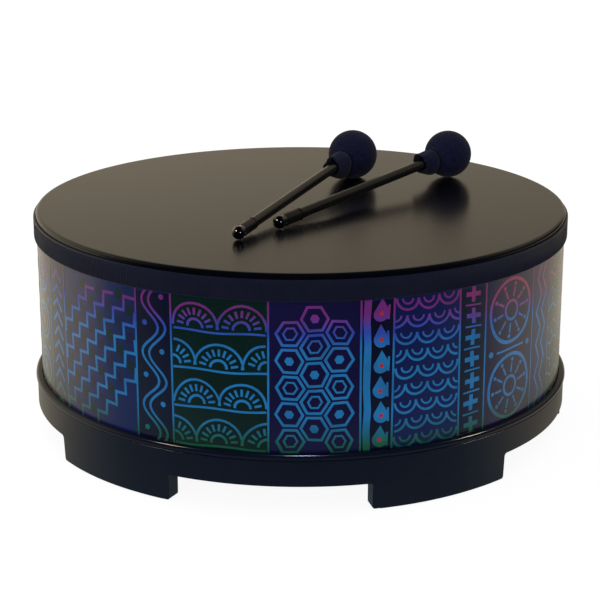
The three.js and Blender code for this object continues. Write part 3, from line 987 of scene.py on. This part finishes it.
class DRUM_OT_base(Piece, bpy.types.Operator):
    """Build the moulded ring with its bead, feet, bosses and ribs"""

    bl_idname = "drum.base"
    bl_label = "Base ring"
    edge = 0.7 * MM
    inner_wall = 19.7 * MM

    def build(self, sizes, colours):
        ring = joined("ring_moulding", [self.channel(sizes), *self.feet(sizes), self.stiffeners(sizes)])
        finished(ring, ring_paint(colours, sizes), "ring_plastic", replaced=["base_ring"])

    def channel(self, sizes):
        outer, inner, low, high = sizes.ring_radius, sizes.ring_inner, sizes.ring_low, sizes.ring_high
        wall, edge, web = 2.9 * MM, self.edge, low + 3 * MM
        bead, overhang = 3.25 * MM, 1.4 * MM
        bead_low, lip = high - 2 * bead, sizes.sleeve_radius + CLEARANCE
        inner_high = low + self.inner_wall
        profile = [
            (inner, low),
            (outer, low),
            (outer, bead_low - edge),
            (outer - edge, bead_low),
            *arc(outer + overhang - bead, bead_low + bead, bead, -60, 90),
            (lip, high),
            (lip, high - 1.7 * MM),
            (outer - wall, bead_low - edge),
            (outer - wall, web),
            (inner + wall, web),
            (inner + wall, inner_high),
            (inner, inner_high),
        ]
        ring = turned("ring_moulding", profile)
        eased(ring, edge)
        settle(ring, 35)
        return ring

    def feet(self, sizes):
        """Flat blocks with rounded lower corners, leaning in below the ring and curled round it."""
        outer, low = sizes.ring_radius + 0.02 * MM, sizes.ring_low
        half, foot_low, depth = sizes.foot_width / 2, sizes.pad_height, outer - sizes.ring_inner
        corner, fillet, lean = 2.5 * MM, 3 * MM, 1.3 * MM
        outline = [(half + fillet, low + 2.4 * MM)]
        outline += [(half + fillet - fillet * math.sin(a), low - fillet + fillet * math.cos(a))
                    for a in (0, 0.35, 0.7, 1.05, 1.4, math.pi / 2)]
        outline += [(half - corner + corner * math.cos(a), foot_low + corner - corner * math.sin(a))
                    for a in (0, 0.3, 0.6, 0.9, 1.2, math.pi / 2)]
        points = [(-u, v) for u, v in outline] + [(u, v) for u, v in reversed(outline)]
        deselect()
        bpy.ops.mesh.primitive_circle_add(vertices=len(points), radius=half, fill_type="NGON")
        foot = bpy.context.object
        for vertex, (u, v) in zip(foot.data.vertices, points):
            vertex.co = (u, -outer, v)
        edit(foot)
        extrude(0, depth, 0)
        bpy.ops.object.mode_set(mode="OBJECT")
        settle(foot)
        eased(foot, self.edge)
        edit(foot)
        bpy.ops.mesh.bisect(plane_co=(0, 0, low), plane_no=(0, 0, 1))
        pitch = math.radians(1)
        for k in range(-15, 16):
            bpy.ops.mesh.select_all(action="SELECT")
            bpy.ops.mesh.bisect(plane_co=(outer * pitch * k, 0, 0), plane_no=(1, 0, 0))
        bpy.ops.object.mode_set(mode="OBJECT")
        for vertex in foot.data.vertices:
            share = max(0.0, (low - vertex.co.z) / (low - foot_low))
            outwards = 1 - (vertex.co.y + outer) / depth
            vertex.co.y += lean * share * outwards
        feet = repeated(foot, len(FEET))
        for foot, turn in zip(feet, FEET):
            curl(foot, outer, turn)
            settle(foot, 35)
        return feet

    def stiffeners(self, sizes):
        """Screw bosses and ribs between the ring's inner wall and the shell."""
        root, boss, rib = 1.5 * MM, 14 * MM, 2.2 * MM
        low, high = sizes.ring_low + root, sizes.ring_low + self.inner_wall
        start, end = sizes.ring_inner + root, sizes.sleeve_radius - 7.2 * MM
        blocks = []
        for place, width in enumerate((boss, rib, rib, rib)):
            deselect()
            bpy.ops.mesh.primitive_cube_add(size=1, location=(0, -(start + end) / 2, (low + high) / 2))
            block = bpy.context.object
            block.scale = (width, end - start, high - low)
            apply_place()
            eased(block, 0.4 * MM)
            for copy, turn in zip(repeated(block, len(SCREWS)), SCREWS):
                copy.rotation_euler.z = turn + math.radians(18 * place)
                settle(copy)
                blocks.append(copy)
        return joined("stiffeners", blocks)


class DRUM_OT_pads(Piece, bpy.types.Operator):
    """Build the rubber pads under the feet"""

    bl_idname = "drum.pads"
    bl_label = "Foot pads"

    def build(self, sizes, colours):
        rubber = moulded_paint("pad_rubber", colours.rubber, 0.8, 500)
        outer, inner = sizes.ring_radius - 4.3 * MM, sizes.ring_inner + 3 * MM
        width = sizes.foot_width - 18 * MM
        deselect()
        bpy.ops.mesh.primitive_grid_add(
            x_subdivisions=24, y_subdivisions=2, size=1, location=(0, -(outer + inner) / 2, 0))
        pad = bpy.context.object
        pad.scale = (width, outer - inner, 1)
        apply_place()
        edit(pad)
        extrude(0, 0, sizes.pad_height)
        bpy.ops.object.mode_set(mode="OBJECT")
        settle(pad)
        eased(pad, 0.5 * MM, 3, 60)
        for number, (pad, turn) in enumerate(zip(repeated(pad, len(FEET)), FEET), 1):
            pad.name = pad.data.name = f"rubber_pad_{number}"
            curl(pad, sizes.ring_radius, turn)
            settle(pad)
            finished(pad, rubber, "pad_rubber", replaced=[f"foot_pad_{number}"])


class DRUM_OT_screws(Piece, bpy.types.Operator):
    """Build the pan-head screws inside the ring, each with a cross recess"""

    bl_idname = "drum.screws"
    bl_label = "Base screws"

    def build(self, sizes, colours):
        steel = metal_paint("screw_steel", rgb("#3c3d40"), 0.32)
        tip = sizes.sleeve_radius - 2.5 * MM
        seat = sizes.ring_inner - 0.5 * MM
        cap, pitch = 2.4, 0.5
        screw = self.screw((tip - seat) / MM, cap, pitch)
        place = Matrix.Translation((0, cap * MM - seat, sizes.ring_low + 11.7 * MM))
        for number, (screw, turn) in enumerate(zip(repeated(screw, len(SCREWS)), SCREWS), 1):
            screw.name = screw.data.name = f"screw_{number}"
            screw.matrix_world = Matrix.Rotation(turn, 4, "Z") @ place @ Matrix.Rotation(math.pi / 2, 4, "X")
            settle(screw)
            finished(screw, steel, "screw_steel", replaced=[f"base_screw_{number}"])

    def screw(self, reach, cap, pitch):
        """An upright screw in millimetres, head down, with a ribbed shank and two crossed slots."""
        thread = [(2.0 if i % 2 else 1.6, cap + pitch * i) for i in range(1, int(reach / pitch) - 2)]
        profile = [
            (0, 0), (2.2, 0.05), (3.4, 0.35), (4.05, 1.1), (4.2, 1.9), (4.1, cap),
            (1.6, cap), *thread, (1.4, cap + reach - 1.2), (0, cap + reach),
        ]
        screw = turned("screw", [(r * MM, z * MM) for r, z in profile], 24)
        for spin in (0, math.pi / 2):
            deselect()
            bpy.ops.mesh.primitive_cube_add(size=1, rotation=(0, 0, spin))
            blade = bpy.context.object
            blade.scale = (4.6 * MM, 0.9 * MM, 2.6 * MM)
            settle(blade)
            apply_modifier(screw, "BOOLEAN", object=blade, operation="DIFFERENCE", solver="EXACT")
            bpy.data.objects.remove(blade)
        return screw


class DRUM_OT_inside(Piece, bpy.types.Operator):
    """Give the shell, the head's steel band and the mallets' cores their finishes"""

    bl_idname = "drum.inside"
    bl_label = "Inside finishes"

    def build(self, sizes, colours):
        dressed("shell", fibre_paint(colours))
        dressed("flesh_hoop", metal_paint("band_steel", colours.steel, 0.4))
        foam = moulded_paint("core_foam", rgb("#3a3a3c"), 0.85, 300)
        for mallet in MALLETS:
            dressed(f"{mallet}_core", foam)


class DRUM_OT_mallets(Piece, bpy.types.Operator):
    """Build both mallets: shafts, end balls, end sleeves, cloth heads and neck bands"""

    bl_idname = "drum.mallets"
    bl_label = "Mallets"

    def build(self, sizes, colours):
        finishes = {
            "shaft": (gloss_paint("shaft_black", colours.shaft, 0.24, 0.3), "mallet_shaft"),
            "end_ball": (gloss_paint("ball_gloss", colours.gloss, 0.03, 1.0), "end_ball_gloss"),
            "end_sleeve": (gloss_paint("end_sleeve_satin", colours.shaft, 0.3, 0.2), "end_sleeve_matt"),
            "cover": (cloth_paint(colours), "mallet_cloth"),
            "neck_band": (moulded_paint("neck_elastic", colours.rubber, 0.7, 2500), "neck_elastic"),
        }
        for mallet, facts in MALLETS.items():
            place = self.place(sizes, facts)
            made = {
                "shaft": self.shaft(sizes, f"{mallet}_rod"),
                "end_ball": self.end_ball(sizes, f"{mallet}_bead"),
                "end_sleeve": self.end_sleeve(sizes, f"{mallet}_grip"),
                "cover": self.cloth_head(sizes, f"{mallet}_cloth", facts),
                "neck_band": self.neck_band(sizes, f"{mallet}_elastic"),
            }
            for part, piece in made.items():
                piece.matrix_world = place
                settle(piece, 40)
                self.rested(piece, sizes)
                finished(piece, *finishes[part], mallet, [f"{mallet}_{part}"])

    def rested(self, piece, sizes):
        """Presses a piece flat where it would reach into the playing face."""
        lowest = sizes.head_height + 0.2 * MM
        for vertex in piece.data.vertices:
            vertex.co.z = max(vertex.co.z, lowest)

    def place(self, sizes, facts):
        x, y = facts["ball"]
        slope = math.asin((sizes.cloth_radius - sizes.end_ball) / sizes.mallet_reach)
        height = sizes.head_height + CLEARANCE + sizes.end_ball
        turn = Matrix.Rotation(-math.radians(facts["heading"]), 4, "Z")
        tilt = Matrix.Rotation(slope - math.pi / 2, 4, "X")
        return Matrix.Translation((x * MM, y * MM, height)) @ turn @ tilt

    def shaft(self, sizes, name):
        """A plain rod that ends inside the head's core."""
        radius, end = sizes.shaft_radius, sizes.mallet_reach + 16 * MM
        edge = 0.4 * MM
        profile = [(0, 0), (radius - edge, 0), (radius, edge)]
        profile += [(radius, end * i / 12) for i in range(1, 12)]
        profile += [(radius, end - edge), (radius - edge, end), (0, end)]
        return turned(name, profile, 48)

    def end_ball(self, sizes, name):
        """A ball on a short collar, which meets the end sleeve."""
        ball, bore = sizes.end_ball, sizes.shaft_radius + CLEARANCE
        collar, edge = bore + 0.45 * MM, 0.2 * MM
        waist = math.degrees(math.acos(collar / ball))
        profile = [
            (0, -ball), *arc(0, 0, ball, -90, waist, 24)[1:],
            (collar, ball), (collar - edge, ball + edge), (bore, ball + edge),
            (bore, -CLEARANCE), (0, -CLEARANCE),
        ]
        return turned(name, profile, 64)

    def end_sleeve(self, sizes, name):
        """A thin sleeve that narrows away from the ball and ends in a fine rim."""
        bore = sizes.shaft_radius + CLEARANCE
        outer, start = bore + 0.75 * MM, sizes.end_ball + CLEARANCE
        end = start + 25 * MM
        profile = [(bore, start)]
        profile += [(outer - in_by * MM, start + up * MM)
                    for in_by, up in ((0.3, 0), (0, 0.3), (0.05, 10), (0.15, 20))]
        profile += [(outer - in_by * MM, end - short * MM)
                    for in_by, short in ((0.2, 1.9), (0, 1.5), (0, 0.7), (0.3, 0.1), (0.5, 0))]
        profile += [(bore, end)]
        return turned(name, profile, 48)

    def neck_band(self, sizes, name):
        """Four turns of an elastic cord in one band."""
        inner, middle, half = sizes.shaft_radius + 2.6 * MM, self.neck(sizes), 1.7 * MM
        profile = [(inner, middle - half)]
        for k in range(4):
            profile += arc(inner + 0.75 * MM, middle + (k - 1.5) * half / 2, 0.45 * MM, -75, 75, 4)
        profile += [(inner, middle + half)]
        return turned(name, profile, 64)

    def neck(self, sizes):
        """Distance from the end ball to the middle of the elastic band."""
        return sizes.mallet_reach - sizes.cloth_radius * math.sin(math.radians(62)) - 6 * MM

    def cloth_head(self, sizes, name, facts):
        """A cloth ball drawn in at the neck, with a loose flared skirt below it.
        It is turned a little small, and swells as the cloth simulation fills it out."""
        swell = 0.06
        neck, reach = self.neck(sizes), sizes.mallet_reach
        ball = facts["cloth"] * MM / (1 + swell)
        middle = neck + (reach - neck) / (1 + swell)
        tight, band = sizes.shaft_radius + 2.3 * MM, 1.8 * MM
        hem, top = reach - facts["hem"] * MM, neck - band - 0.3 * MM
        flare = [(1, 4.4), (0.87, 4.2), (0.74, 4.1), (0.6, 4.2), (0.46, 4.4),
                 (0.32, 4.7), (0.2, 4.8), (0.1, 4.4), (0.03, 3.2)]
        skirt = [(tight + r * MM, top - (top - hem) * t) for t, r in flare]
        profile = [
            *skirt,
            (tight + 1.2 * MM, top + 0.1 * MM),
            (tight, neck - band + 0.3 * MM),
            (tight, neck),
            (tight, neck + band - 0.3 * MM),
            (tight + 1.3 * MM, neck + band),
            (tight + 2.4 * MM, neck + band + 0.5 * MM),
            (tight + 4.0 * MM, neck + band + 1.8 * MM),
            *arc(0, middle, ball, -61, 90, 34)[:-1],
            (0, middle + ball),
        ]
        head = turned(name, profile, 120, open_end=True)
        fix_order(head)
        for vertex in head.data.vertices:
            self.gather(vertex, middle, ball)
            self.drape(vertex, sizes, facts, middle, top, hem)
        if swell:
            self.fill_out(head, neck + band, swell)
        apply_modifier(head, "SOLIDIFY", thickness=1.4 * MM, offset=-1.0, use_even_offset=False)
        apply_modifier(head, "SUBSURF", levels=1, render_levels=1)
        return head

    def gather(self, vertex, middle, ball):
        """The puckers that the band draws into the lower part of the ball."""
        co = vertex.co
        height = co.z - middle
        if -ball * 0.9 < height < 0:
            angle = math.atan2(co.y, co.x)
            pucker = math.cos(13 * angle + 2 * math.sin(3 * angle)) + 0.5 * math.cos(21 * angle + 1)
            way = Vector((co.x, co.y, height)).normalized()
            vertex.co = co + way * 0.6 * MM * (-height / ball) ** 6 * pucker

    def drape(self, vertex, sizes, facts, middle, top, hem):
        """The skirt's folds and uneven hem, and the cloth that sags under the neck; +y is down."""
        co = vertex.co
        near_side, notch_side = 15, 212
        radius, angle = math.hypot(co.x, co.y), math.atan2(co.y, co.x)
        under = max(0.0, math.sin(angle)) ** 1.5
        share = max(0.0, (top - co.z) / (top - hem))
        if share:
            turn = angle + math.radians(facts["turn"])
            wave = 0.6 * math.cos(5 * turn) + 0.4 * math.cos(8 * turn + 1) + 0.4 * math.cos(3 * turn + 2)
            near = 1 - smooth(abs(apart(angle, near_side)), 0.9, 2.3)
            notch = math.exp(-(apart(angle, notch_side) / 0.42) ** 2)
            reach = radius + MM * (share ** 0.7 * wave * (1 - 0.6 * near) - 5.5 * near * share ** 2)
            reach = max(reach, sizes.shaft_radius + 2.0 * MM)
            rise = share ** 2 * MM * (facts["notch"] * notch + 0.6 * math.sin(4 * turn))
            vertex.co = (co.x / radius * reach, co.y / radius * reach, co.z + rise)
        depth = middle - co.z
        slack = smooth(depth, 12 * MM, 26 * MM) * (1 - 0.8 * share ** 2)
        vertex.co.y += facts["sag"] * MM * under * slack

    def fill_out(self, head, held_below, swell):
        """Swells the cloth above the neck under pressure, at ten times its size, which suits the solver."""
        deselect()
        grown, limit = 10, 3.5 * MM
        held = head.vertex_groups.new(name="held")
        held.add([v.index for v in head.data.vertices if v.co.z < held_below], 1.0, "REPLACE")
        start = [vertex.co.copy() for vertex in head.data.vertices]
        head.scale = (grown, grown, grown)
        activate(head)
        bpy.ops.object.transform_apply(location=False, rotation=False, scale=True)
        cloth = head.modifiers.new("Cloth", "CLOTH")
        cloth.settings.use_pressure = True
        cloth.settings.uniform_pressure_force = 20
        cloth.settings.shrink_min = -swell
        cloth.settings.effector_weights.gravity = 0
        cloth.settings.vertex_group_mass = held.name
        for moment in range(1, 21):
            bpy.context.scene.frame_set(moment)
        bpy.ops.object.modifier_apply(modifier=cloth.name)
        bpy.context.scene.frame_set(1)
        head.vertex_groups.clear()
        for vertex, place in zip(head.data.vertices, start):
            move = vertex.co / grown - place
            vertex.co = place + move * min(1.0, limit / max(move.length, 1e-9))


class DRUM_OT_studio(Piece, bpy.types.Operator):
    """Set up the floor, the surroundings, the lamps and the camera"""

    bl_idname = "drum.studio"
    bl_label = "Studio"

    def build(self, sizes, colours):
        self.floor(colours)
        self.surroundings(colours)
        for lamp in LAMPS:
            self.lamp(*lamp)
        self.camera()
        bpy.context.scene.view_settings.view_transform = "Standard"

    def floor(self, colours):
        """White to the camera, with part of its shadow, and to gloss a painted reflection: cool in front,
        warm behind, with painted shadow under and beside the drum and painted light to its left."""
        deselect()
        bpy.ops.mesh.primitive_circle_add(vertices=96, radius=14, fill_type="NGON")
        floor = bpy.context.object
        floor.name = "studio_floor"
        pale, whitened = 0.8, 0.8
        paint = Paint("studio_floor", Base_Color=shade(colours.floor, pale), Roughness=0.9)
        floor.data.materials.append(paint.material)
        paint.material.cycles.emission_sampling = "NONE"
        camera, glossy = paint.rays()
        white = paint.node("ShaderNodeEmission", {}, {"Color": tuple(colours.floor), "Strength": 1.15})
        # Painted reflection: to gloss the floor glows dark in front, then cool, then warm behind, instead of
        # white
        tone = paint.node(
            "ShaderNodeValToRGB",
            {"stops": [
                (0.2, tuple(colours.dark_room)),
                (0.38, tuple(colours.cool_floor)),
                (0.47, tuple(colours.warm_floor)),
            ]},
            {0: paint.y * 0.5 + 0.5 + paint.x.ramp(0.1, 0.4, 0.0, 0.03)})
        away = paint.node("ShaderNodeVectorMath", {"operation": "LENGTH"}, {0: paint.where}, 1)
        # Painted shadow under the drum, in the glow that gloss sees
        under = away.ramp(0.15, 0.3, 0.3, 1.0)
        # Painted shadow beside and behind the drum, deeper on its right
        shaded = away.ramp(0.3, 0.6, 1.0, 0.0) * paint.y.ramp(-0.25, 0.0)
        beside = 1 - shaded * paint.x.ramp(-0.2, 0.2, 0.28, 0.45)
        # Painted light: the glow is brighter to the left and fades far to the right
        sides = paint.x.ramp(-0.4, 0.4, 1.15, 0.97) * paint.x.ramp(0.9, 1.4, 1.0, 0.15)
        # The painted reflection and its painted shadow, seen only by glossy rays
        mirror = paint.node("ShaderNodeEmission", {}, {"Color": tone, "Strength": under * beside * sides})
        lit = Value(paint, paint.shader.outputs[0])
        lit = paint.node("ShaderNodeMixShader", {}, {0: camera * whitened, 1: lit, 2: white})
        lit = paint.node("ShaderNodeMixShader", {}, {0: glossy, 1: lit, 2: mirror})
        output = paint.tree.nodes["Material Output"]
        paint.tree.links.new(lit.socket, output.inputs["Surface"])

    def surroundings(self, colours):
        """White to the camera, even light for the rest, and to gloss a warm band low behind and beside."""
        world = bpy.data.worlds.new("studio")
        bpy.context.scene.world = world
        world.use_nodes = True
        world.cycles.sampling_method = "NONE"
        sky = Nodes(world.node_tree)
        across, along, up = sky.parts(sky.node("ShaderNodeTexCoord", {}, {}, "Generated"))
        camera, glossy = sky.rays()
        even = (0.58, 0.58, 0.58)
        height = up + across.ramp(-0.8, -0.3, -0.3, 0.0)
        side = across.ramp(0.3, 0.65)
        wall = height.ramp(0.15, 0.45, 1.0, 0.0) * (1 - side)
        ceiling = (up + side * 0.12).ramp(0.25, 0.5, 0.0, 0.62) * up.ramp(0.64, 0.82, 1.0, 0.0)
        band = along.ramp(-0.5, 0.5) * (wall + ceiling) * across.ramp(-0.3, 0.3, 1.0, 0.7)
        mirror = sky.mix(band, tuple(colours.dark_room), tuple(colours.warm_wall))
        light = sky.mix(glossy, even, mirror)
        shown = sky.mix(camera, light, tuple(colours.floor))
        sky.feed(world.node_tree.nodes["Background"].inputs["Color"], shown)

    def lamp(self, name, place, size, power, tone, glinting):
        """A round lamp that lights the drum, or one that only glints in its gloss."""
        deselect()
        aim = Vector((0, 0, 0.15)) - Vector(place)
        turn = aim.to_track_quat("-Z", "Y").to_euler()
        bpy.ops.object.light_add(type="AREA", location=place, rotation=turn)
        lamp = bpy.context.object
        lamp.name = name
        lamp.data.shape = "DISK"
        lamp.data.size = size
        lamp.data.energy = power
        lamp.data.color = tone
        lamp.visible_glossy = bool(glinting)
        lamp.visible_diffuse = not glinting

    def camera(self):
        """Looks down a little on the drum from the front."""
        down = 16.97
        place = (-0.0006, -1.8252, 0.6835)
        bpy.ops.object.camera_add(location=place, rotation=(math.radians(90 - down), 0, 0))
        camera = bpy.context.object
        camera.name = "photo_camera"
        camera.data.lens = 105.65
        camera.data.sensor_width = 36
        camera.data.clip_end = 50
        bpy.context.scene.camera = camera


class DRUM_OT_glints(Piece, bpy.types.Operator):
    """Keep the glint lamps to the ring's bead and the mallets' end balls"""

    bl_idname = "drum.glints"
    bl_label = "Glints"

    def build(self, sizes, colours):
        for name, *_, glinting in LAMPS:
            if not glinting:
                continue
            group = bpy.data.collections.new(name)
            for piece in glinting:
                group.objects.link(bpy.data.objects[piece])
            bpy.data.objects[name].light_linking.receiver_collection = group


class DRUM_PT_panel(bpy.types.Panel):
    """Sizes, colours and build steps of the gathering drum"""

    bl_idname = "DRUM_PT_panel"
    bl_label = "Gathering Drum"
    bl_space_type = "VIEW_3D"
    bl_region_type = "UI"
    bl_category = "Drum"

    def draw(self, context):
        column = self.layout.column(align=True)
        for step in STEPS:
            column.operator(step.bl_idname)
        for group in (context.scene.drum_sizes, context.scene.drum_colours):
            column = self.layout.column(align=True)
            for name in group.__annotations__:
                column.prop(group, name)


STEPS = (
    DRUM_OT_studio, DRUM_OT_head, DRUM_OT_hoop, DRUM_OT_sleeve, DRUM_OT_base,
    DRUM_OT_pads, DRUM_OT_screws, DRUM_OT_inside, DRUM_OT_mallets, DRUM_OT_glints,
)


def register():
    for part in (DrumSizes, DrumColours, *STEPS, DRUM_PT_panel):
        bpy.utils.register_class(part)
    bpy.types.Scene.drum_sizes = PointerProperty(type=DrumSizes)
    bpy.types.Scene.drum_colours = PointerProperty(type=DrumColours)


def unregister():
    del bpy.types.Scene.drum_colours
    del bpy.types.Scene.drum_sizes
    for part in (DRUM_PT_panel, *reversed(STEPS), DrumColours, DrumSizes):
        bpy.utils.unregister_class(part)


def main():
    register()
    for step in STEPS:
        group, name = step.bl_idname.split(".")
        getattr(getattr(bpy.ops, group), name)()
    deselect()


if __name__ == "__main__":
    main()
